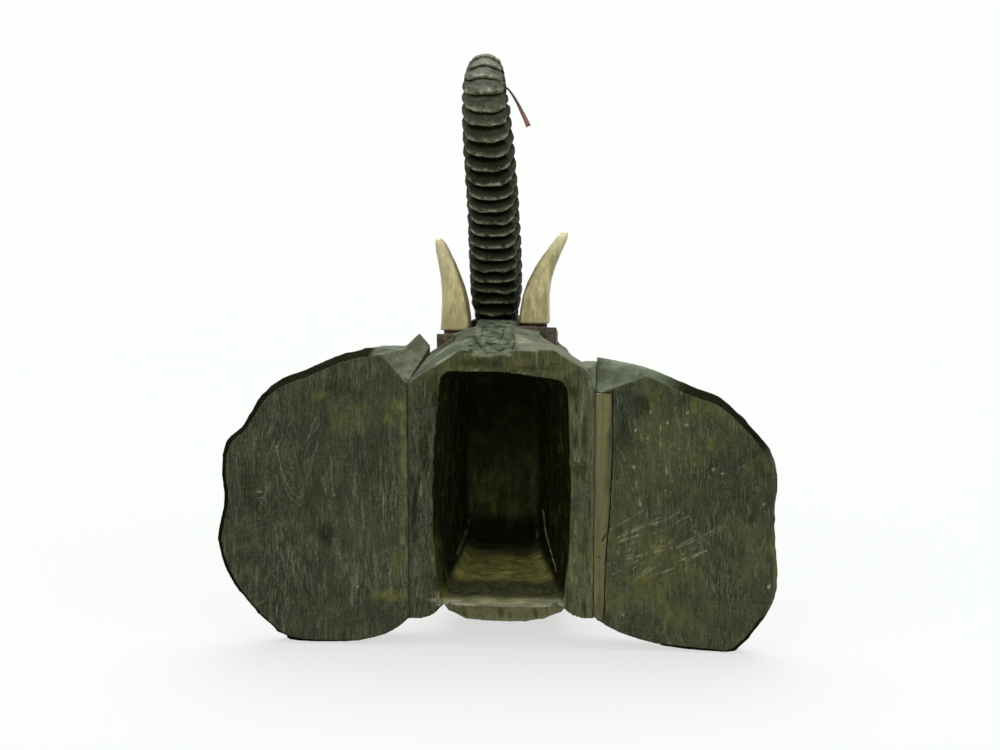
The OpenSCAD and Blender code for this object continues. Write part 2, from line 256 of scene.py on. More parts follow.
def dark_wood(name, specular, gloss):
    """Blackened olive-green patina on wood whose grain runs up the object, with fine scratches across it.

    Painted on the mesh are three layers: one where the wood is pale from wear and where highlights are
    painted, olive, where the patina is greener, and one for painted shade in the hollows and under the
    trunk's lips and for dark marks.
    """
    n = Nodes(name)
    clouds = n.noise((12, 12, 9), 5, 0.65)
    mottle = n.noise((62, 62, 44), 6, 0.74, 0.6)
    streaks = n.noise((300, 300, 24), 5, 0.7, 0.4)
    fibres = n.noise((1050, 1050, 90), 3, 0.65)
    specks = n.noise((520, 520, 420), 4, 0.75)
    wear_and_highlight, olive, shade_and_dark_marks = n.painted("wear_and_highlight"), n.painted("olive"), n.painted("shade_and_dark_marks")

    base = n.mix(n.ramp(clouds, 0.38, 0.62), PATINA_SHADE, PATINA)
    base = n.mix(n.ramp(mottle, 0.52, 0.66, 0, 0.6), base, PALE_MOTTLE)
    base = n.mix(n.ramp(mottle, 0.47, 0.35, 0, 0.7), base, DARK_MOTTLE)
    base = n.mix(n.ramp(streaks, 0.52, 0.68, 0, 0.42), base, PALE_STREAK)
    base = n.mix(n.ramp(streaks, 0.48, 0.34, 0, 0.5), base, DARK_STREAK)
    patchy = n.ramp(n.noise((34, 34, 22), 4, 0.6), 0.42, 0.58, 0.25, 1)
    pale_fibres = n.math("MULTIPLY", n.ramp(fibres, 0.53, 0.66, 0, 0.85), patchy)
    dark_fibres = n.math("MULTIPLY", n.ramp(fibres, 0.47, 0.34, 0, 0.85), patchy)
    base = n.mix(pale_fibres, base, PALE_FIBRE)
    base = n.mix(dark_fibres, base, DARK_FIBRE)
    for turn, patch_count in SCRATCH_TURNS:
        lines = n.noise((1500, 1500, 45), 2, 0.6, 0.25, turn)
        where = n.noise((patch_count, patch_count, patch_count), 2, 0.5)
        share = n.math("MULTIPLY", n.ramp(lines, 0.60, 0.70, 0, 0.5), n.ramp(where, 0.54, 0.66))
        base = n.mix(share, base, SCRATCH)
    base = n.mix(n.ramp(specks, 0.55, 0.66, 0, 0.55), base, PALE_SPECK)
    base = n.mix(n.ramp(specks, 0.46, 0.36, 0, 0.7), base, DARK_SPECK)
    base = n.mix(n.ramp(specks, 0.68, 0.75, 0, 0.6), base, BRIGHT_SPECK)
    tint = n.math("MULTIPLY", olive, n.ramp(mottle, 0.38, 0.58, 0.4, 1))
    base = n.mix(tint, base, OLIVE)
    # Dust and painted top light on faces turned up, less where the patina is olive.
    dust_and_top_light = n.math("MULTIPLY", n.ramp(n.upward(), 0.2, 0.85, 0, 0.75), n.ramp(mottle, 0.36, 0.6, 0.45, 1))
    dust_and_top_light = n.math("MULTIPLY", dust_and_top_light, n.ramp(olive, 0, 0.6, 1, 0.15))
    base = n.mix(dust_and_top_light, base, DUST_AND_TOP_LIGHT)
    # Pale wear and painted highlights.
    wear_and_highlight_share = n.math("MULTIPLY", wear_and_highlight, n.ramp(specks, 0.32, 0.58, 0.45, 1))
    wear_and_highlight_tone = n.mix(n.ramp(olive, 0.2, 0.8), WEAR_AND_HIGHLIGHT_GREY, WEAR_AND_HIGHLIGHT_GOLD)
    base = n.mix(wear_and_highlight_share, base, wear_and_highlight_tone)
    # Painted shade and dark marks darken towards near black.
    base = n.mix(n.ramp(shade_and_dark_marks, 0, 1, 0, 0.97), base, SHADE_AND_MARK_BLACK)

    mixed = n.math("ADD", n.math("MULTIPLY", mottle, 0.5), n.math("MULTIPLY", specks, 0.5))
    roughness = n.ramp(mixed, 0.35, 0.65, 0.62 - 0.3 * gloss, 0.82 - 0.25 * gloss)
    coarse = n.bump(n.math("ADD", streaks, mottle), 0.0010)
    fine = n.math("ADD", n.math("MULTIPLY", fibres, 0.6), n.math("MULTIPLY", specks, 0.4))
    n.set(n.shader.inputs["Specular IOR Level"], n.ramp(shade_and_dark_marks, 0, 0.8, specular, 0))
    return n.finish(base, roughness, n.bump(fine, 0.0008, coarse))


def pale_wood(name, light, dark, stain):
    """Bare or stained wood with grain up the object."""
    n = Nodes(name)
    streaks = n.noise((300, 300, 12), 5, 0.65)
    specks = n.noise((500, 500, 260), 4, 0.7)
    base = n.mix(n.ramp(streaks, 0.3, 0.7), dark, light)
    base = n.mix(n.ramp(specks, 0.55, 0.75, 0, 0.6), base, stain)
    base = n.mix(n.painted("shade_and_dark_marks"), base, colour(0.012, 0.011, 0.006))
    n.shader.inputs["Specular IOR Level"].default_value = 0.2
    return n.finish(base, n.ramp(specks, 0.3, 0.7, 0.5, 0.75), n.bump(streaks, 0.0009))


def tusk_material():
    n = Nodes("tusk_horn")
    streaks = n.noise((260, 260, 15), 5, 0.62, 0.3)
    mottle = n.noise((75, 75, 30), 3, 0.6)
    specks = n.noise((520, 520, 300), 4, 0.7)
    base = n.mix(n.ramp(mottle, 0.35, 0.65), colour(0.27, 0.235, 0.10), colour(0.42, 0.36, 0.17))
    base = n.mix(n.ramp(streaks, 0.5, 0.70, 0, 0.65), base, colour(0.60, 0.52, 0.29))
    base = n.mix(n.ramp(streaks, 0.46, 0.30, 0, 0.65), base, colour(0.15, 0.135, 0.052))
    base = n.mix(n.ramp(specks, 0.62, 0.74, 0, 0.45), base, colour(0.10, 0.085, 0.035))
    # Paler tips, and a painted highlight on one side.
    base = n.mix(n.painted("wear_and_highlight"), base, colour(0.52, 0.47, 0.32))
    # Painted shade on one side and at the foot, and dark chips.
    base = n.mix(n.painted("shade_and_dark_marks"), base, colour(0.030, 0.024, 0.010))
    return n.finish(base, n.ramp(specks, 0.3, 0.7, 0.30, 0.5), n.bump(streaks, 0.0006))


def leather_material():
    n = Nodes("thong_leather")
    pores = n.cells((1400, 1400, 1400))
    mottle = n.noise((260, 260, 120), 4)
    base = n.mix(n.ramp(mottle, 0.3, 0.7), colour(0.016, 0.009, 0.007), colour(0.040, 0.020, 0.014))
    base = n.mix(n.painted("wear_and_highlight"), base, colour(0.20, 0.080, 0.050))
    return n.finish(base, 0.62, n.bump(pores, 0.0002))


# ---------------- numbers without a pattern

# Large odd numbers that stir the bits of a cell's place and of the seed.
STIR_X, STIR_Y, STIR_Z, STIR_SEED, STIR_ALL = 73856093, 19349663, 83492791, 9176263, 1274126177
HASH_MASK = 0xFFFFF
# Puts the middle of a noise cell, and not its edge, at the object's origin.
NOISE_SHIFT = 50.5


def hashed(cells, seed):
    """Numbers from 0 to 1 that look random for whole-number cells, the same every run."""
    h = (cells[..., 0] * STIR_X) ^ (cells[..., 1] * STIR_Y) ^ (cells[..., 2] * STIR_Z) ^ (seed * STIR_SEED)
    h = (h ^ (h >> 13)) * STIR_ALL
    h = (h ^ (h >> 16)) & HASH_MASK
    return h / HASH_MASK


def wobble(points, size, seed=0, octaves=2):
    """Smooth noise from -1 to 1 over points; size is the length of one swell along X, Y and Z."""
    total = np.zeros(len(points))
    for octave in range(octaves):
        q = points / np.array(size) * 2 ** octave + NOISE_SHIFT
        cell = np.floor(q).astype(np.int64)
        part = q - cell
        part = part * part * (3 - 2 * part)
        value = np.zeros(len(points))
        for corner in np.ndindex(2, 2, 2):
            weight = np.prod(np.where(corner, part, 1 - part), axis=1)
            value += weight * hashed(cell + np.array(corner), seed + 17 * octave)
        total += (value * 2 - 1) / 2 ** octave
    return total / 1.5


def scoops(points, size, seed=0):
    """Hand tool marks: each cell is a shallow scoop, 0 at its middle and 1 at the ridges between scoops."""
    q = points / np.array(size) + NOISE_SHIFT
    cell = np.floor(q).astype(np.int64)
    nearest = np.full(len(points), 9.0)
    second = np.full(len(points), 9.0)
    for step in np.ndindex(3, 3, 3):
        other = cell + np.array(step) - 1
        centre = other + np.stack([hashed(other, seed + k) for k in (1, 2, 3)], axis=1)
        distance = np.linalg.norm(q - centre, axis=1)
        second = np.minimum(second, np.maximum(distance, nearest))
        nearest = np.minimum(nearest, distance)
    return nearest / np.maximum(second, 1e-6)


def smooth(value, low, high):
    t = np.clip((value - low) / (high - low), 0, 1)
    return t * t * (3 - 2 * t)


def ragged(points, size, seed, low, high, octaves=3):
    """Noise with its values from low to high spread between 0 and 1."""
    return smooth(wobble(points, size, seed, octaves), low, high)


def most(*layers):
    """The strongest of several layers at each point."""
    return np.maximum.reduce(np.broadcast_arrays(*layers))


# ---------------- mesh helpers

def new_piece(name, mesh, material, body, slot, *nodes):
    piece = bpy.data.objects.new(name, mesh)
    scene.collection.objects.link(piece)
    mesh.materials.clear()
    mesh.materials.append(material)
    mesh.shade_smooth()
    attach(piece, body)
    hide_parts(*nodes)
    return piece


def skin_of(node, voxel, passes):
    """A fine, even mesh over a CAD node, its corners eased by some smoothing passes."""
    helper = bpy.data.objects.new("helper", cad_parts[node].data.copy())
    scene.collection.objects.link(helper)
    remesh = helper.modifiers.new("skin", "REMESH")
    remesh.mode = "VOXEL"
    remesh.voxel_size = voxel
    ease = helper.modifiers.new("ease", "SMOOTH")
    ease.factor = 0.5
    ease.iterations = passes
    mesh = bpy.data.meshes.new_from_object(helper.evaluated_get(bpy.context.evaluated_depsgraph_get()))
    bpy.data.objects.remove(helper)
    return mesh


def points_of(mesh):
    points = np.empty(len(mesh.vertices) * 3)
    mesh.vertices.foreach_get("co", points)
    return points.reshape(-1, 3)


def normals_of(mesh):
    normals = np.empty(len(mesh.vertices) * 3)
    mesh.vertices.foreach_get("normal", normals)
    return normals.reshape(-1, 3)


def move_points(mesh, points):
    mesh.vertices.foreach_set("co", points.ravel())
    mesh.update()


def paint(mesh, name, values):
    layer = mesh.attributes.new(name, "FLOAT", "POINT")
    layer.data.foreach_set("value", np.clip(values, 0, 1).astype(np.float32))


def keep_in_box(points):
    """Holds points inside the CAD model's own box."""
    return np.clip(points, np.array(cad_low), np.array(cad_high))


def tube(name, rings):
    """A closed mesh through rings of points, its ends closed to their middles."""
    rings = np.array(rings)
    count, sides = rings.shape[:2]
    points = np.concatenate([rings.reshape(-1, 3), [rings[0].mean(axis=0)], [rings[-1].mean(axis=0)]])
    faces = []
    for i in range(count - 1):
        for j in range(sides):
            a, b = i * sides + j, i * sides + (j + 1) % sides
            faces.append((a, b, b + sides, a + sides))
    first, last = count * sides, count * sides + 1
    for j in range(sides):
        faces.append(((j + 1) % sides, j, first))
        faces.append(((count - 1) * sides + j, (count - 1) * sides + (j + 1) % sides, last))
    mesh = bpy.data.meshes.new(name)
    mesh.from_pydata(points.tolist(), [], faces)
    mesh.update()
    return mesh


def curve_at(rows, u):
    """The value at place u of a smooth curve through rows, as in the CAD source."""
    rows = np.array(rows, dtype=float)
    last = len(rows) - 1
    i = int(max(0, min(last - 1, math.floor(u))))
    t = u - i
    a, b, c, d = rows[max(0, i - 1)], rows[i], rows[i + 1], rows[min(last, i + 2)]
    square = (2 * a - 5 * b + 4 * c - d) * t ** 2
    cube = (3 * b - a - 3 * c + d) * t ** 3
    return 0.5 * (2 * b + (c - a) * t + square + cube)


# ---------------- marks on the surface

def near_line(q, line):
    """Distance in millimetres, seen from behind, from each point to a line through places (x, z)."""
    here = q[:, [0, 2]]
    nearest = np.full(len(q), 1e6)
    for a, b in zip(line, line[1:]):
        a, along = np.array(a, dtype=float), np.array(b, dtype=float) - np.array(a, dtype=float)
        share = np.clip((here - a) @ along / (along @ along), 0, 1)
        nearest = np.minimum(nearest, np.linalg.norm(here - a - share[:, None] * along, axis=1))
    return nearest


def bent(line):
    """A smooth curve through three or more places."""
    if len(line) < 3:
        return line
    return [tuple(curve_at(line, u)) for u in np.linspace(0, len(line) - 1, 4 * len(line))]


def strokes(q, width, strength, *lines):
    """Thin painted or scratched lines, 1 along their middles."""
    total = np.zeros(len(q))
    for line in map(bent, lines):
        total = most(total, strength * smooth(near_line(q, line), width, 0.3 * width))
    return total


def patches(q, *spots):
    """Soft blotches: each is a place (x, z), its half width and half height, and its strength."""
    total = np.zeros(len(q))
    wave = 0.45 * wobble(q, (11, 11, 16), 58, 3)
    for x, z, across, up, strength in spots:
        away = np.hypot((q[:, 0] - x) / across, (q[:, 2] - z) / up) + wave * (across > 6)
        total = most(total, strength * smooth(away, 1, 0.25))
    return total


def scratch_field(q, count, middle, spread, lean, length, width, strength, seed):
    """A cluster of fine scratches that all lean about the same way."""
    total = np.zeros(len(q))
    for k in range(count):
        a, b, c, d, e = hashed(np.array([[k, i, 7] for i in range(5)]), seed)
        x, z = middle[0] + (2 * a - 1) * spread[0], middle[1] + (2 * b - 1) * spread[1]
        angle = math.radians(lean + (2 * c - 1) * 9)
        half = length * (0.25 + 0.5 * d)
        step = (half * math.cos(angle), half * math.sin(angle))
        line = ((x - step[0], z - step[1]), (x + step[0], z + step[1]))
        total = most(total, strokes(q, width, strength * (0.4 + 0.6 * e), line))
    return total


# ---------------- the pieces

def local(points):
    """Places in millimetres with Y measured from the flat back."""
    return (points - np.array([0, BACK, 0])) / MM


def placed(q):
    return q * MM + np.array([0, BACK, 0])


LEFT_JOINT, LEFT_JOINT_LEAN, RIGHT_JOINT = -87, math.radians(20), 97
JOINT_DEPTH = 60
JOINT_REACH = 1.2


def on_a_joint(q, n):
    """True on the planes where pieces meet, so that they stay closed."""
    left = np.abs((q[:, 0] - LEFT_JOINT) * math.cos(LEFT_JOINT_LEAN) - q[:, 1] * math.sin(LEFT_JOINT_LEAN))
    right = np.abs(q[:, 0] - RIGHT_JOINT)
    beside = (q[:, 1] < JOINT_DEPTH) & (np.abs(n[:, 0]) > 0.7)
    return beside & ((left < JOINT_REACH) | (right < JOINT_REACH))


HEAD_VOXEL = 0.0013
# The hollow's middle, half its width, and its lowest, highest and deepest places.
HOLLOW_MIDDLE = (5, 50, 168)
HOLLOW_HALF_WIDTH, HOLLOW_BOTTOM, HOLLOW_TOP, HOLLOW_END = 76, 44, 289, 114
# The carving stands on its points below this, so they stay in place.
STANDING = 3
# Seats and pockets of sockets and trunk lie above this height, within this half width.
SEAT_HEIGHT, SEAT_HALF_WIDTH = 284, 64
# Seen from behind, lines and patches on the head as places (x, z) in millimetres.
CORNER_GLINTS = (((-36, 100), (-38, 90), (-44, 77)), ((34, 100), (36, 86)))
LONG_GLINT = ((42.5, 116), (44, 104), (48, 92), (58, 71))
WALL_GLINTS = (((51, 262), (51.5, 252)), ((60, 208), (61, 192)))
END_WALL_CUTS = (((-26, 141), (-12, 144)), ((-24, 121), (-10, 124)))
GREEN_SHADES = (
    (-70, 205, 7, 40, 0.5), (77, 262, 8, 12, 0.6), (-60, 268, 10, 12, 0.4), (79, 150, 6, 40, 0.3),
    (-20, 290, 36, 7, 0.45), (30, 286, 14, 4, 0.4), (87, 222, 5, 34, 0.6), (88, 110, 4, 40, 0.4))
HUMP_ARCS = (
    ((-31, 316), (-28, 305), (-20, 300)), ((14, 315), (17, 305), (12, 300)),
    ((-16, 317), (-15, 309), (-6, 305), (3, 309), (5, 316)),
    ((-26, 313), (-14, 303), (2, 301), (12, 308)))
SPLINTERED_CORNER = (92, 274, 8, 16, 1)
# Pale chips on the rim and crown; the one at (-18, 283) is a painted glint.
RIM_CHIPS = ((36, 279.5, 6, 3, 0.9), (-18, 283, 6, 2, 0.7), (62, 51, 10, 6, 0.9), (-62, 50, 9, 7, 0.7))
RIM_STREAKS = (
    ((-73.5, 186), (-74, 156)), ((-75, 122), (-75, 112)), ((84, 250), (82, 205)), ((88, 232), (87, 214)),
    ((80, 200), (83, 190)), ((-79, 240), (-78, 222)), ((76, 236), (77, 212)), ((75, 206), (78, 194)),
    ((76, 176), (75, 158)), ((79, 140), (78, 120)), ((77, 96), (80, 70)))
MOUTH_GLINT = ((-30, 281.5), (-10, 282), (14, 281.5), (30, 279.5))
WHITE_GLINT = (18, 309, 2, 3.5, 1.0)


class Head:
    """The head block's skin, carved and painted; x, y and z are where its points lie before carving."""

    def __init__(self):
        self.mesh = skin_of("head_block", HEAD_VOXEL, 2)
        self.q, self.n = local(points_of(self.mesh)), normals_of(self.mesh)
        self.x, self.y, self.z = self.q.T
        self.find_regions()

    def find_regions(self):
        """How far each point belongs to each region of the head, from 0 to 1."""
        x, y, z, n = self.x, self.y, self.z, self.n
        inside = ((y > 0.6) & (np.abs(x - HOLLOW_MIDDLE[0]) < HOLLOW_HALF_WIDTH)
                  & (z > HOLLOW_BOTTOM) & (z < HOLLOW_TOP) & (y < HOLLOW_END))
        facing_in = np.einsum("ij,ij->i", n, self.q - np.array(HOLLOW_MIDDLE)) < 0
        self.hollow = inside & facing_in
        self.floor = self.hollow * smooth(n[:, 2], 0.4, 0.75)
        self.end_wall = self.hollow * smooth(-n[:, 1], 0.45, 0.8) * (y > 80)
        self.back = (y < 2) & (n[:, 1] < -0.7)
        # The hump between hollow and trunk narrows from the back towards the trunk.
        ramp = np.clip(y / 70, 0, 1)
        self.hump = (smooth(x, -37 + 14 * ramp, -30 + 13 * ramp) * smooth(x, 26 - 12 * ramp, 19 - 12 * ramp)
                     * smooth(z, 291, 299) * (y < 76) * (n[:, 2] > 0.05))
        # The flat facets beside the hump, and the underside below the ledge.
        self.planed = (y < 62) & (z > 262) & (n[:, 2] > 0.35) & ~self.hollow
        self.crown = (y > 7) * (z < 46) * smooth(-n[:, 1], 0.0, 0.25) * ~self.hollow

    def carve(self):
        """Broad scoops on the face, small bites on the hump, and long gouges inside the hollow."""
        x, y, z, q, n = self.x, self.y, self.z, self.q, self.n
        depth = 1.5 * (1 - scoops(q, (30, 26, 34), 5) ** 2) + 0.35 * (1 + wobble(q, (6, 6, 26), 4))
        along = 0.84 * x + 0.54 * np.sign(HOLLOW_MIDDLE[0] - x) * z
        self.facet_grain = wobble(np.stack([along, y, z], axis=1), (34, 6, 90), 67, 3)
        depth[self.planed] = 0.35 * (1 + self.facet_grain[self.planed])
        self.bite = scoops(q, (30, 13, 7), 9)
        bitten = 1.6 * (1 - self.bite ** 2) + 0.8 * (1 + wobble(q, (7, 6, 3), 10, 3))
        depth = depth * (1 - self.hump) + bitten * self.hump
        self.gouge = scoops(q, (20, 13, 46), 3)
        sides = 2.0 * (1 - self.gouge ** 2) + 0.4 * (1 + wobble(q, (5, 5, 16), 12))
        level = 1.8 * (1 - scoops(q, (42, 30, 12), 6) ** 2) + 0.4 * (1 + wobble(q, (10, 6, 4), 13))
        ground = 2.0 * (1 - scoops(q, (38, 15, 20), 8) ** 2) + 0.6 * (1 + wobble(q, (12, 4, 5), 15))
        inner = sides * (1 - self.end_wall) + level * self.end_wall
        inner = inner * (1 - self.floor) + ground * self.floor
        depth = np.where(self.hollow, inner, depth)
        depth = np.where(self.back, 0.25 * (1 + wobble(q, (7, 10, 40), 6, 3)), depth)
        among_seats = (z > SEAT_HEIGHT) & (np.abs(x) < SEAT_HALF_WIDTH)
        seat = among_seats & (n[:, 2] > 0.9) & (y > 53)
        pocket = among_seats & (y > 52) & (y < 96) & (np.abs(n[:, 2]) < 0.2) & (np.abs(x + 3) > 18)
        depth[on_a_joint(q, n) | (z < STANDING) | seat | pocket] = 0
        self.q = q - n * depth[:, None]

    def shape_rim(self):
        """The rim sinks where the hump meets it, and its lower edge is bevelled to a ledge."""
        x, y, z, q = self.x, self.y, self.z, self.q
        self.sink = 1.5 * np.clip(1 - ((x + 4) / 22) ** 2, 0, 1) * np.clip(1 - y / 16, 0, 1)
        self.sink *= smooth(z, 288, 296)
        q[:, 2] -= self.sink
        ledge = smooth(np.abs(x - 4), 67, 50) * (z > 41.5) * (z < 56) * smooth(y, 12, 8)
        lowered = 43.5 + 0.5 * q[:, 1]
        bevelled = (q[:, 2] > lowered) & (self.n[:, 2] > -0.2)
        q[:, 2] = np.where(bevelled, q[:, 2] + (lowered - q[:, 2]) * ledge, q[:, 2])
        move_points(self.mesh, keep_in_box(placed(q)))

    def find_grain(self):
        """Noise that the painted layers share."""
        q, y, z = self.q, self.y, self.z
        self.mottled = wobble(q, (11, 11, 15), 69, 3)
        self.grain = ragged(q, (3.2, 8, 34), 64, 0.15, 0.7)
        self.hump_grain = wobble(q, (6, 3, 1.8), 62, 3)
        # The splintered corner between the rim and the right ear.
        self.corner = patches(q, SPLINTERED_CORNER) * (y < 12)
        self.splintered = wobble(q, (2.6, 6, 16), 70, 2)
        # The olive patch on the end wall, the mossy lower left corner, and the lit band across the floor.
        end_grain = ragged(q, (4, 6, 20), 52, -0.5, 0.5)
        self.end_patch = smooth(z, 96, 112) * smooth(z, 225, 130) * (0.5 + 0.5 * end_grain)
        self.low_left = smooth(self.x, -44, -52) * smooth(z, 130, 100) * smooth(y, 30, 12)
        self.bright = smooth(y, 30, 44) * smooth(y, 94, 74)
        # Painted glints on the hollow's walls and corners, with faint pale cuts on the end wall.
        self.glints = self.hollow * most(
            strokes(q, 2.6, 0.45, *CORNER_GLINTS) * smooth(self.mottled, -0.5, 0.2),
            strokes(q, 1.3, 0.9, LONG_GLINT),
            strokes(q, 1.0, 0.5, *WALL_GLINTS) * smooth(self.mottled, -0.2, 0.3),
            strokes(q, 2.4, 0.16, *END_WALL_CUTS) * smooth(self.mottled, -0.3, 0.3))

    def shade_in_hollow(self):
        """Painted shade: nearly black walls with some lighter gouges, and a floor that is dark at its two
        ends; it fades out at the mouth.
        """
        q, y = self.q, self.y
        splinters = ragged(q, (6, 5, 16), 68, 0.25, 0.9)
        wall = 0.96 - 0.16 * smooth(self.gouge, 0.82, 1) - 0.30 * splinters
        end = 0.95 - 0.42 * self.end_patch - 0.10 * smooth(self.mottled, 0, 0.6)
        wall = wall * (1 - self.end_wall) + self.end_wall * end - 0.22 * self.low_left
        ground = (0.62 * (1 - self.bright) + 0.3 * smooth(y, 88, 108)) * smooth(y, 5, 11)
        moss = ragged(q, (9, 3.5, 5), 57, 0, 0.5) * smooth(y, 9, 14)
        ground = most(ground, (0.8 - 0.4 * self.bright) * moss)
        shade = (wall * (1 - self.floor) + ground * self.floor) * smooth(y, 0.6, 3.5)
        return shade * (1 - self.glints)

    def shade_outside(self):
        """Dark cuts in the rim, scoop marks on the hump, and streaks on the facets and the crown."""
        q, n, x, y, z = self.q, self.n, self.x, self.y, self.z
        crevices = ragged(q, (7, 7, 26), 61, 0.2, 0.6) * smooth(z, 294, 270)
        right_cuts = ragged(q, (2.4, 5, 16), 58, 0.0, 0.5) * smooth(x, 64, 72)
        arch_cuts = ragged(q, (11, 6, 6), 54, 0.05, 0.6) * smooth(z, 276, 284)
        cuts = 0.6 * most(crevices, right_cuts, arch_cuts)
        arcs = strokes(q, 1.3, 0.75, *HUMP_ARCS) * smooth(self.hump_grain, -0.5, 0.1)
        scooped = most(0.3 * smooth(self.bite, 0.7, 1), 0.65 * smooth(self.hump_grain, 0, 0.7))
        facets = 0.5 * self.planed * (1 - self.hump) * smooth(self.facet_grain, 0.1, 0.6)
        under_ledge = (y > 7) * (z < 46) * (n[:, 1] < -0.05)
        crown_streaks = 0.6 * ragged(q, (2.4, 40, 40), 53, -0.1, 0.6) * under_ledge
        splinters = 0.8 * self.corner * smooth(self.splintered, -0.1, 0.4)
        return most(self.back * cuts, self.back * patches(q, *GREEN_SHADES),
                    self.hump * most(scooped, arcs), facets, crown_streaks, splinters)

    def find_wear_and_light(self):
        """Pale wear and painted light: chips and streaks on the rim, a painted glint along the mouth's top
        edge, a pale line where the rim sinks to the hump, the ledge and facets painted pale as lit from
        above, golden flecks in the painted lit band on the floor, painted glints in the hollow, and a crown
        painted paler along its grain.
        """
        q, n, x, y, z = self.q, self.n, self.x, self.y, self.z
        chips = patches(q, *RIM_CHIPS) * ragged(q, (4, 4, 3), 63, -0.25, 0.35) * (y < 14) * ~self.hollow
        streaks = strokes(q, 1.1, 0.55, *RIM_STREAKS) * ragged(q, (4, 4, 9), 59, -0.3, 0.4)
        # A painted glint along the mouth's top edge, broken where the mottle is low.
        mouth_glint = strokes(q, 1.1, 0.4, MOUTH_GLINT) * (self.mottled > 0)
        # The ledge's upward top is painted pale, as painted light, broken by noise.
        ledge = smooth(z, 60, 52) * smooth(y, 12, 8) * smooth(np.abs(x - 4), 66, 60) * (q[:, 2] > 43)
        ledge *= 0.4 + 0.75 * ragged(q, (18, 4, 3), 56, -0.3, 0.4)
        hump_edge = 0.55 * smooth(self.sink, 0.1, 0.5) * smooth(y, 3.0, 1) * (n[:, 2] > 0)
        hump = 0.42 * self.hump * smooth(self.hump_grain, 0, -0.5)
        # Upward facets paler along their grain, and paler still right of the middle, as painted light from
        # above.
        facets = 0.55 * smooth(self.facet_grain, -0.1, -0.6) + 0.18 * (x > 5)
        facets = self.planed * (1 - self.hump) * facets
        golden = ragged(q, (15, 3, 5), 66, -0.05, 0.5)
        fleck = ragged(q, (3.5, 2.2, 3), 55, -0.1, 0.5)
        # Golden flecks and paleness in the lit band across the floor, painted light over real flecks.
        band = self.bright * (0.18 + golden * (0.4 + 0.6 * fleck))
        floor = self.floor * most(band, 0.35 * fleck * smooth(y, 90, 60))
        # A painted white glint on the head's top.
        white = patches(q, WHITE_GLINT) * (y > 40) * (y < 76)
        corner = 0.35 * self.corner * smooth(self.splintered, 0, -0.4)
        # The crown is painted paler along its grain, as painted light where the ledge shades it.
        return most(chips, 0.4 * self.right_rim, 0.5 * self.top_rim, self.back * streaks,
                    self.back * mouth_glint, ledge, hump_edge, hump, facets, floor, white,
                    corner, 0.8 * self.glints, self.crown * (0.16 + 0.34 * self.grain))

    def find_olive(self):
        end_wall = 0.75 * self.end_wall * self.end_patch
        end_wall *= 0.4 + 0.6 * ragged(self.q, (8, 8, 10), 60, -0.3, 0.4)
        floor = self.floor * (0.45 + 0.45 * self.bright)
        hollow = self.hollow * most(0.7 * self.low_left, 0.35)
        return most(self.right_rim, 1.1 * self.top_rim, 0.6 * self.crown, floor, end_wall,
                    0.28 * self.back * smooth(self.z, 250, 290), hollow)

    def paint(self):
        self.find_grain()
        # The rim is greener and more worn on its right side and along its top.
        self.right_rim = self.back * smooth(self.x, 66, 74) * (0.2 + 0.5 * self.grain)
        self.top_rim = (0.8 * self.back * self.grain * smooth(self.z, 281, 287)
                        * smooth(self.x, 8, 20) * smooth(self.x, 62, 44))
        # Painted shade in the hollow, dark marks and patches outside it.
        paint(self.mesh, "shade_and_dark_marks", np.where(self.hollow, self.shade_in_hollow(), self.shade_outside()))
        # Pale wear, with painted light on the ledge, facets, crown and floor band, and painted glints.
        paint(self.mesh, "wear_and_highlight", self.find_wear_and_light())
        paint(self.mesh, "olive", self.find_olive())


def make_head(material):
    head = Head()
    head.carve()
    head.shape_rim()
    head.paint()
    new_piece("head_carving", head.mesh, material, "root", "dark_wood", "head_block")


EAR_VOXEL = 0.0012
# Above this height an ear's top edge is pared to a flat facet next to the head.
PARED_HEIGHT = 255

# The same on the left ear.
LEFT_ARCS = (
    ((-217, 205), (-214, 190), (-210, 173), (-205, 164), (-201, 157), (-193, 151)),
    ((-211, 169), (-207.5, 159), (-203, 151), (-194, 144)), ((-213, 181), (-208, 167), (-203, 157)))
LEFT_SEAM = ((-91.5, 246), (-91, 190), (-91.5, 150), (-92.5, 108))
LEFT_RUNS = (
    ((-138, 84), (-141, 50)), ((-144, 70), (-143, 40)), ((-163, 118), (-156, 70)),
    ((-171, 92), (-170, 50)), ((-122, 110), (-119, 70)), ((-204, 96), (-200, 56)),
    ((-219, 130), (-218, 96)), ((-134, 180), (-131, 120)), ((-101, 170), (-103, 120)),
    ((-111, 160), (-112, 118)))
LEFT_CHIPS = (
    (-138, 61, 1.6, 1.6, 1), (-235, 157, 5, 1.2, 0.8), (-233, 151, 4, 1, 0.6), (-160, 155, 3, 1.5, 0.5))
LEFT_SHADES = (
    (-168, 114, 15, 20, 0.5), (-118, 190, 22, 50, 0.35), (-240, 160, 30, 40, 0.35),
    (-185, 150, 40, 40, 0.35), (-190, 60, 50, 30, 0.3), (-150, 262, 40, 14, 0.35))
LEFT_OLIVES = (
    (-100, 243, 26, 28, 0.5), (-138, 232, 34, 22, 0.4), (-172, 257, 12, 8, 0.6), (-203, 192, 16, 26, 0.3),
    (-100, 52, 28, 9, 0.7), (-98, 85, 14, 22, 0.45))

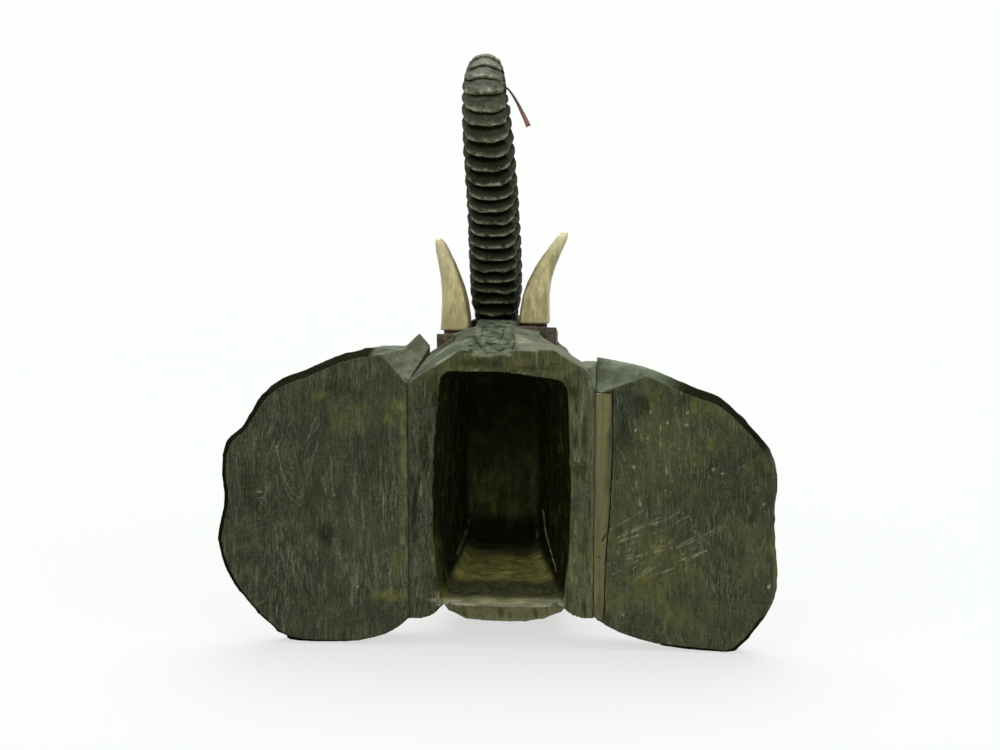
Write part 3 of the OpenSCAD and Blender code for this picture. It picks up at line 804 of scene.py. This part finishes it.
# The same on the right ear.
RIGHT_CUTS = (
    ((120, 117), (146, 129), (168, 136)), ((122, 113), (150, 124)), ((124, 94), (174, 108)),
    ((174, 92), (208, 106)), ((137, 174), (142, 150)), ((158, 225), (163, 200), (169, 176)),
    ((124, 96), (118, 108)))
RIGHT_CHIPS = (
    (136, 226, 2, 2, 1), (135, 189, 2, 3, 1), (185, 232, 2.6, 1.8, 1), (186, 244, 1.8, 1.8, 1),
    (167, 234, 2, 1.6, 0.9), (212, 188, 2, 2, 1), (221, 184, 2.2, 1.6, 1), (150, 244, 1.6, 3, 0.8),
    (160, 228, 1.2, 5, 0.7), (148, 218, 1.6, 1.6, 0.8), (166, 166, 1.6, 1.6, 0.8),
    (178, 208, 2, 1.4, 0.6), (269, 70, 3.2, 3.6, 1), (126, 38, 2, 2, 0.8), (262, 154, 1.8, 1.8, 0.8),
    (241, 192, 2, 1.6, 0.5))
RIGHT_SPECKLED = (160, 215, 62, 58, 1)
RIGHT_CALM = ((222, 160, 38, 34, 0.85), (262, 60, 14, 24, 1))
RIGHT_OLIVES = (
    (200, 248, 30, 16, 0.5), (213, 217, 22, 18, 0.5), (162, 110, 22, 18, 0.6), (136, 74, 22, 12, 0.6),
    (170, 40, 60, 22, 0.3), (250, 120, 24, 50, 0.2))
RIGHT_SHADES = (
    (126, 206, 16, 40, 0.65), (121, 116, 13, 30, 0.6), (230, 160, 36, 30, 0.2), (264, 54, 12, 24, 0.75),
    (218, 196, 12, 12, 0.6), (258, 200, 12, 24, 0.6), (140, 250, 12, 14, 0.5), (172, 160, 10, 12, 0.35))


def ear_surface(node):
    """The ear's skin with hewn edges and front, and a flat back with slight waves."""
    mesh = skin_of(node, EAR_VOXEL, 2)
    q, n = local(points_of(mesh)), normals_of(mesh)
    back = n[:, 1] < -0.8
    front = n[:, 1] > 0.5
    pared = (n[:, 2] > 0.3) * (q[:, 2] > PARED_HEIGHT)
    pared = pared * smooth(q[:, 0], -126, -114) * smooth(q[:, 0], 188, 145)
    depth = 1.5 * (1 - scoops(q, (30, 14, 30), 21) ** 2) + 0.3 * (1 + wobble(q, (8, 8, 24), 8))
    ripples = np.sin(q[:, 2] / 9 + 2 * wobble(q, (60, 60, 60), 22))
    depth = np.where(front, depth + 0.6 * (1 + ripples), depth)
    depth = depth * (1 - pared) + 0.35 * (1 + wobble(q, (14, 14, 9), 24, 3)) * pared
    depth = np.where(back, 0.3 * (1 + wobble(q, (24, 10, 70), 7)), depth)
    depth[on_a_joint(q, n) | (q[:, 2] < STANDING)] = 0
    q = q - n * depth[:, None]
    move_points(mesh, keep_in_box(placed(q)))
    outer_edge = (1 - pared) * smooth(n[:, 1], 0.6, 0.25)
    return mesh, q, back, pared, outer_edge


def make_left_ear(material):
    mesh, q, back, pared, outer_edge = ear_surface("left_ear")
    broken = ragged(q, (5, 5, 14), 71, -0.4, 0.4)
    grain = ragged(q, (2.6, 6, 30), 72, 0.2, 0.75)
    facet = wobble(q, (26, 12, 9), 73, 3)
    low_grain = grain * smooth(q[:, 2], 150, 90)
    seam = strokes(q, 4.5, 0.45, LEFT_SEAM) * (0.4 + 0.6 * broken)

    scratches = most(
        strokes(q, 0.9, 0.6, *LEFT_ARCS) * (0.35 + 0.65 * broken),
        strokes(q, 1.1, 0.38, *LEFT_RUNS) * broken,
        scratch_field(q, 60, (-150, 110), (80, 70), 92, 24, 0.7, 0.34, 74),
        scratch_field(q, 26, (-205, 190), (44, 44), 66, 18, 0.7, 0.30, 76))
    wear_and_highlight = most(scratches, patches(q, *LEFT_CHIPS), 0.5 * seam * broken, 0.21 * low_grain,
                0.12 * grain)
    olive = most(patches(q, *LEFT_OLIVES) * (0.35 + 0.65 * broken), seam, 0.175 * low_grain)
    shade = patches(q, *LEFT_SHADES) * (0.2 + 0.8 * ragged(q, (9, 9, 20), 75, -0.3, 0.3))
    dark_edge = 0.93 * outer_edge * smooth(q[:, 0], -112, -120)

    # The pared top facet is painted pale, as light falling on an upward face, streaked darker by noise.
    paint(mesh, "wear_and_highlight", np.where(back, wear_and_highlight, pared * (0.12 + 0.3 * smooth(facet, 0, 0.6))))
    paint(mesh, "olive", np.where(back, olive, 0))
    paint(mesh, "shade_and_dark_marks", np.where(back, shade, most(dark_edge, 0.5 * pared * smooth(facet, -0.1, -0.6))))
    new_piece("left_ear_board", mesh, material, "root", "dark_wood", "left_ear")


def make_right_ear(material):
    mesh, q, back, pared, outer_edge = ear_surface("right_ear")
    broken = ragged(q, (5, 5, 9), 81, -0.3, 0.4)
    grain = ragged(q, (3, 6, 20), 82, 0.2, 0.75)
    cloud = ragged(q, (34, 20, 34), 83, -0.35, 0.5)
    facet = wobble(q, (22, 12, 9), 89, 3)
    calm = 1 - patches(q, *RIGHT_CALM)

    cuts = most(
        strokes(q, 1.2, 0.75, *RIGHT_CUTS),
        scratch_field(q, 34, (160, 112), (44, 30), 26, 24, 0.9, 0.6, 84),
        scratch_field(q, 20, (225, 110), (34, 44), 100, 26, 0.9, 0.45, 85),
        scratch_field(q, 18, (150, 205), (34, 40), 108, 16, 0.9, 0.55, 86))
    chips = patches(q, *RIGHT_CHIPS)
    specks = 0.8 * ragged(q, (3, 3, 3), 87, 0.62, 0.78, 2) * patches(q, RIGHT_SPECKLED)
    wear_and_highlight = most(cuts * broken, chips, specks, 0.2 * grain * cloud) * most(calm, chips)
    olive = most(patches(q, *RIGHT_OLIVES) * (0.3 + 0.7 * broken), 0.25 * cloud * calm)
    olive_edge = 0.5 * (q[:, 0] > 255) * ragged(q, (8, 8, 22), 88, -0.2, 0.4, 2)
    shade = patches(q, *RIGHT_SHADES) * (0.15 + 0.85 * ragged(q, (11, 11, 16), 90, -0.3, 0.3))
    dark_edge = 0.93 * outer_edge * smooth(q[:, 0], 135, 165) * smooth(q[:, 0], 272, 258)

    # The pared top facet is painted pale, as light falling on an upward face, streaked darker by noise.
    paint(mesh, "wear_and_highlight", np.where(back, wear_and_highlight, pared * 0.3 * smooth(facet, 0, 0.6)))
    paint(mesh, "olive", np.where(back, olive, olive_edge))
    paint(mesh, "shade_and_dark_marks", np.where(back, shade, most(dark_edge, 0.4 * pared * smooth(facet, -0.1, -0.6))))
    new_piece("right_ear_board", mesh, material, "root", "dark_wood", "right_ear")


# Centre line of the trunk with half width and half depth in millimetres, as in the CAD source.
TRUNK_LINE = [
    (-6.5, 100, 316, 20, 26), (-6.5, 100, 343, 25, 29.5), (-7, 99, 371, 25.5, 30),
    (-8, 96.5, 399, 25.5, 29.5), (-9, 93, 427, 25, 28.5), (-10.5, 89, 456, 25, 28),
    (-12.5, 84, 488, 24.5, 27), (-14.5, 80, 519, 23.5, 25), (-16.5, 82, 545, 21.5, 22.5),
    (-17.5, 96, 561, 18.5, 19.5), (-18, 115, 562, 16.5, 17), (-18, 131, 551, 14.5, 14.5),
    (-18, 137, 531, 12.5, 12),
]
TRUNK_RINGS = 27
TRUNK_SIDES = 220
TRUNK_SEAT = 316
# How square the trunk's section is at its foot and at its tip, where 2 is an ellipse.
TRUNK_SQUARE = (2.8, 2.0)
# How far the middle of a scale's lip hangs at the foot and at the tip.
LIP_SAG = (5, 8)
# Places up one ring, closer together at its ends.
RING_STEPS = (0, 0.02, 0.05, 0.09, 0.14, 0.20, 0.28, 0.36, 0.44, 0.52, 0.60, 0.68, 0.76, 0.84, 0.90, 0.94,
              0.97)
TIP_RINGS = 26
NOSTRIL_SPREAD = 5
NOSTRIL_RADIUS = 2.6
NOSTRIL_DEPTH = 8
# Behind this the lips are uneven.
TRUNK_FRONT = 96
TRUNK_GLINTS = ((-17.5, 546, 3, 2.4, 1), (-11, 549, 2, 3, 1), (-12.7, 532, 5, 1.2, 0.9))


def trunk_frame(u):
    last = len(TRUNK_LINE) - 1
    row = curve_at(TRUNK_LINE, u)
    ahead = curve_at(TRUNK_LINE, min(last, u + 0.05))[:3] - curve_at(TRUNK_LINE, max(0, u - 0.05))[:3]
    ahead /= np.linalg.norm(ahead)
    back = np.cross((1, 0, 0), ahead)
    return row, ahead, back / np.linalg.norm(back)


def trunk_ring(ring, step):
    """Points around the trunk at a step up one ring, with how much painted light and wear and how much
    painted shade each takes.
    """
    last = len(TRUNK_LINE) - 1
    u = min(last, (ring + step) * last / TRUNK_RINGS)
    row, ahead, back = trunk_frame(u)
    share = u / last
    angles = np.arange(TRUNK_SIDES) * 2 * math.pi / TRUNK_SIDES
    cosine, sine = np.cos(angles), np.sin(angles)
    power = TRUNK_SQUARE[0] + (TRUNK_SQUARE[1] - TRUNK_SQUARE[0]) * min(1, 1.4 * share)
    reach = ((np.abs(cosine) / row[3]) ** power + (np.abs(sine) / row[4]) ** power) ** (-1 / power)
    across = np.abs(reach * cosine) / row[3]
    facing = np.maximum(0, reach * sine / row[4])
    behind = smooth(facing, 0.20, 0.45)

    # Behind, each ring is a scale with a lit band above its lip and a black hollow under the next lip; both
    # are painted, as painted light and painted shadow, over the carved steps.
    scale = smooth(across, 0.93, 0.84) * behind
    rail = smooth(across, 0.86, 0.90) * smooth(across, 1.0, 0.95) * behind
    open_top = smooth(share, 0.70, 0.50)
    low = smooth(share, 0.35, 0.0)
    band_top = 0.82 - 0.34 * open_top - 0.06 * low
    band = smooth(step, band_top + 0.10, band_top - 0.10)
    lip = max(0, 1 - step / 0.06)
    recess = 0.8 * lip + 1.5 * min(1, step / band_top) + (1.2 + 3.4 * open_top) * (1 - band)
    notch = abs(2 * step - 1) ** 3
    side = 0.1 + 2.8 * notch
    strip = 0.4 + 1.8 * notch
    drop = (side * (1 - rail) + strip * rail) * (1 - scale) + recess * scale
    reach = reach - drop

    sag = (LIP_SAG[0] + (LIP_SAG[1] - LIP_SAG[0]) * share) * min(1, 6 * share) * min(1, 4 * (1 - share))
    lean = 0.8 * math.sin(2.4 * ring)
    hang = sag * np.clip(1 - across ** 3.6, 0, 1) * smooth(facing, 0, 0.5) + lean * cosine * facing
    points = (row[:3] + (reach * cosine)[:, None] * np.array([1, 0, 0]) + (reach * sine)[:, None] * back
              - ahead * hang[:, None])
    lit = smooth(step, 0.34 + 0.3 * (1 - open_top), 0.04)
    edge = smooth(step, 0.01, 0.04) * smooth(step, 0.15, 0.08)
    # Painted light: the scale's lit band, brightest at its worn lip edge, and the rails, a little dimmer low
    # down.
    wear_and_highlight = scale * band * (0.02 + 0.20 * lit + 0.38 * edge) * (1 - 0.2 * low) + 0.12 * rail * (1 - notch)
    # Painted shadow under each lip, deeper on the open upper scales and low down, and painted shade on the
    # sides and notches.
    shade = 0.22 + 0.48 * open_top + 0.22 * low
    shade_and_dark_marks = scale * ((1 - band) * (0.80 + 0.20 * open_top) + band * shade * (1 - lit))
    shade_and_dark_marks = most(shade_and_dark_marks, (1 - scale) * (0.55 + 0.42 * smooth(notch, 0.1, 0.7)),
                (1 - scale) * (1 - rail) * 0.7)
    return points, wear_and_highlight, shade_and_dark_marks


def make_trunk(material):
    last = len(TRUNK_LINE) - 1
    rings, wear_and_highlight, shade_and_dark_marks = [], [], []
    for ring in range(TRUNK_RINGS):
        for step in RING_STEPS:
            points, light, dark = trunk_ring(ring, step)
            rings.append(points)
            wear_and_highlight.append(light)
            shade_and_dark_marks.append(dark)
    row, ahead, _ = trunk_frame(last)
    for share in np.linspace(0.97, 0.06, TIP_RINGS):
        points = rings[len(RING_STEPS) * TRUNK_RINGS - 1] * share + row[:3] * (1 - share)
        points = points + ahead * 1.2 * (1 - share ** 4)
        holes = [np.linalg.norm(points - (row[:3] + side * NOSTRIL_SPREAD * np.array([1, 0, 0])), axis=1)
                 for side in (-1, 1)]
        sunk = smooth(np.minimum(*holes), NOSTRIL_RADIUS + 0.9, NOSTRIL_RADIUS - 1.2)
        rings.append(points - ahead * (NOSTRIL_DEPTH * sunk)[:, None])
        wear_and_highlight.append(0 * sunk)
        # The tip is darker and the nostrils near black, as painted shade in the holes.
        shade_and_dark_marks.append(0.3 + 0.7 * sunk)
    mesh = tube("trunk_carving", [placed(r) for r in rings])
    q, n = local(points_of(mesh)), normals_of(mesh)
    wear_and_highlight = np.append(np.concatenate(wear_and_highlight), [0, 0])
    shade_and_dark_marks = np.append(np.concatenate(shade_and_dark_marks), [0, 0.3])
    rough = 0.9 * (1 + wobble(q, (8, 8, 4), 31, 3)) + 2.2 * wear_and_highlight * ragged(q, (4, 5, 3), 32, 0, 0.8)
    q = q - n * rough[:, None]
    q[:, 2] += (q[:, 1] < TRUNK_FRONT) * (1.3 * wobble(q, (13, 13, 7), 36, 3) - 0.4)
    q[:, 2] = np.maximum(q[:, 2], TRUNK_SEAT)
    move_points(mesh, keep_in_box(placed(q)))
    fleck = ragged(q, (4, 5, 2.4), 33, -0.35, 0.5)
    glints = patches(q, *TRUNK_GLINTS) * (q[:, 1] < 75)
    chips = ragged(q, (4, 5, 1.8), 34, 0.3, 0.6) * smooth(wear_and_highlight, 0.1, 0.25) * (q[:, 1] < 95)
    glints = most(glints, 0.75 * chips)
    # Painted shade on the trunk's foot, which also dims its lips, and dark random blotches that grow heavier
    # lower down as painted shade.
    foot = smooth(q[:, 2], 430, 340)
    blotches_and_shade = ragged(q, (6, 6, 3), 35, -0.05, 0.55) * (0.75 - 0.45 * smooth(q[:, 2], 470, 530))
    paint(mesh, "wear_and_highlight", most(wear_and_highlight * (0.1 + 1.5 * fleck) * (1 - 0.3 * foot), glints * fleck))
    paint(mesh, "olive", 0.3 * wear_and_highlight)
    dull = most(0.5 * foot * (1 - smooth(wear_and_highlight, 0.05, 0.2)), blotches_and_shade)
    paint(mesh, "shade_and_dark_marks", most(shade_and_dark_marks, dull) * (1 - glints))
    new_piece("trunk_carving", mesh, material, "root", "dark_wood", "trunk")


SMALL_VOXEL = 0.0008
# Height of each tusk's base, above its peg.
TUSK_BASE = {"left": 311, "right": 319}


def make_tusk(side, material):
    node = side + "_tusk"
    mesh = skin_of(node, SMALL_VOXEL, 5)
    q, n = local(points_of(mesh)), normals_of(mesh)
    base = TUSK_BASE[side]
    body = smooth(q[:, 2], base, base + 3)
    depth = 0.2 * (1 + wobble(q, (5, 5, 30), 41)) + 0.35 * (1 - scoops(q, (9, 9, 44), 42) ** 2)
    chips = smooth(q[:, 2], base + 5, base) * ragged(q, (3.5, 3.5, 3), 43, 0.05, 0.6)
    q = q - n * (body * (depth + 0.7 * chips))[:, None]
    move_points(mesh, placed(q))
    tip = smooth(q[:, 2], base + 60, base + 88)
    # Painted shade on the side turned from the light and along the foot at the socket; chips are dark marks.
    shaded_side = smooth(n[:, 0] * (1 if side == "left" else -1), 0.55, 0.85)
    paint(mesh, "shade_and_dark_marks", most(chips, 0.5 * shaded_side * (1 - 0.5 * tip), 0.5 * (1 - body)))
    # The tip paler, and on the left tusk a painted highlight on its left side.
    paint(mesh, "wear_and_highlight", most(0.45 * tip, 0.25 * smooth(-n[:, 0], 0.1, 0.6) * (side == "left")))
    new_piece(side + "_tusk_horn", mesh, material, node, "tusk", node)


def make_small_wood(node, name, slot, material, marks):
    mesh = skin_of(node, SMALL_VOXEL, 1)
    q, n = local(points_of(mesh)), normals_of(mesh)
    depth = 0.15 * (1 + wobble(q, (5, 5, 12), 51))
    depth[on_a_joint(q, n)] = 0
    q = q - n * depth[:, None]
    move_points(mesh, keep_in_box(placed(q)))
    paint(mesh, "shade_and_dark_marks", marks(q))
    new_piece(name, mesh, material, "root", slot, node)


def strip_marks(q):
    edge = smooth(q[:, 0] + 4.5 * wobble(q, (6, 6, 16), 91, 3), 106, 114) * 0.65
    return most(strokes(q, 1.6, 0.95, ((105, 114), (108.5, 120))), edge,
                patches(q, (102, 97, 1.8, 2.2, 0.95)), 0.35 * smooth(q[:, 2], 60, 40),
                0.45 * ragged(q, (5, 5, 30), 92, 0.1, 0.7))


def socket_marks(q):
    return 0.55 * ragged(q, (16, 16, 8), 93, 0.2, 0.6)


# Route of the thong in millimetres, as in the CAD source: from its hole in the trunk to its cut end.
THONG_ROUTE = [(-4, 80, 551), (1, 80, 551), (6, 79, 549), (11, 78, 543), (16, 77, 535), (20, 77, 527),
               (24, 77, 519), (27, 77, 512)]
THONG_WIDTH = 5.0
THONG_ROOT_WIDTH = 3.0
THONG_THICKNESS = 1.6
THONG_TURN = math.radians(80)
THONG_FORK = 4.5
THONG_RINGS, THONG_SIDES, THONG_PATH_POINTS = 70, 24, 18
# Below 1, the thong's section is a rounded rectangle.
THONG_SQUARE = 0.6


def make_thong(material):
    last = len(THONG_ROUTE) - 1
    rings, wear_and_highlight = [], []
    for u in np.linspace(0, last, THONG_RINGS):
        here = curve_at(THONG_ROUTE, u)
        ahead = curve_at(THONG_ROUTE, min(last, u + 0.1)) - curve_at(THONG_ROUTE, max(0, u - 0.1))
        ahead /= np.linalg.norm(ahead)
        side = np.cross(ahead, (0, 1, 0))
        side /= np.linalg.norm(side)
        across = np.cross(side, ahead)
        turn = THONG_TURN * (u / last) ** 2
        width = THONG_ROOT_WIDTH + (THONG_WIDTH - THONG_ROOT_WIDTH) * u / last
        ring = []
        for j in range(THONG_SIDES):
            a = -2 * math.pi * j / THONG_SIDES
            w = width / 2 * math.copysign(abs(math.cos(a)) ** THONG_SQUARE, math.cos(a))
            t = THONG_THICKNESS / 2 * math.copysign(abs(math.sin(a)) ** THONG_SQUARE, math.sin(a))
            fork = THONG_FORK * max(0, u / last - 0.9) * 10 * max(0, 1 - abs(2 * w / width + 0.1) * 1.6)
            ring.append(here + across * (w * math.cos(turn) - t * math.sin(turn))
                        + side * (w * math.sin(turn) + t * math.cos(turn)) - ahead * fork)
        rings.append(placed(np.array(ring)))
        wear_and_highlight.append(np.full(THONG_SIDES, smooth(u / last, 0.45, 0.95)))
    mesh = tube("thong", rings)
    paint(mesh, "wear_and_highlight", np.append(np.concatenate(wear_and_highlight), [0, 1]))
    piece = new_piece("thong", mesh, material, "root", "thong_leather", "leather_thong")


make_camera()
make_thong(leather_material())
make_studio()
patina = dark_wood("patina", specular=0.14, gloss=0.3)
make_head(patina)
make_left_ear(patina)
make_right_ear(patina)
make_trunk(dark_wood("trunk_patina", specular=0.3, gloss=0.9))
horn = tusk_material()
make_tusk("left", horn)
make_tusk("right", horn)
bare = pale_wood("bare_wood", light=colour(0.165, 0.150, 0.062), dark=colour(0.085, 0.078, 0.032),
                 stain=colour(0.05, 0.045, 0.02))
lip = pale_wood("lip_wood", light=colour(0.150, 0.112, 0.082), dark=colour(0.075, 0.055, 0.042),
                stain=colour(0.04, 0.034, 0.026))
make_small_wood("right_joint_strip", "joint_strip", "bare_wood", bare, strip_marks)
make_small_wood("left_tusk_socket", "left_lip", "lip_wood", lip, socket_marks)
make_small_wood("right_tusk_socket", "right_lip", "lip_wood", lip, socket_marks)
for dowels in ("left_ear_dowels", "right_ear_dowels", "trunk_dowel"):
    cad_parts[dowels].data.materials.clear()
    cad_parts[dowels].data.materials.append(bare)
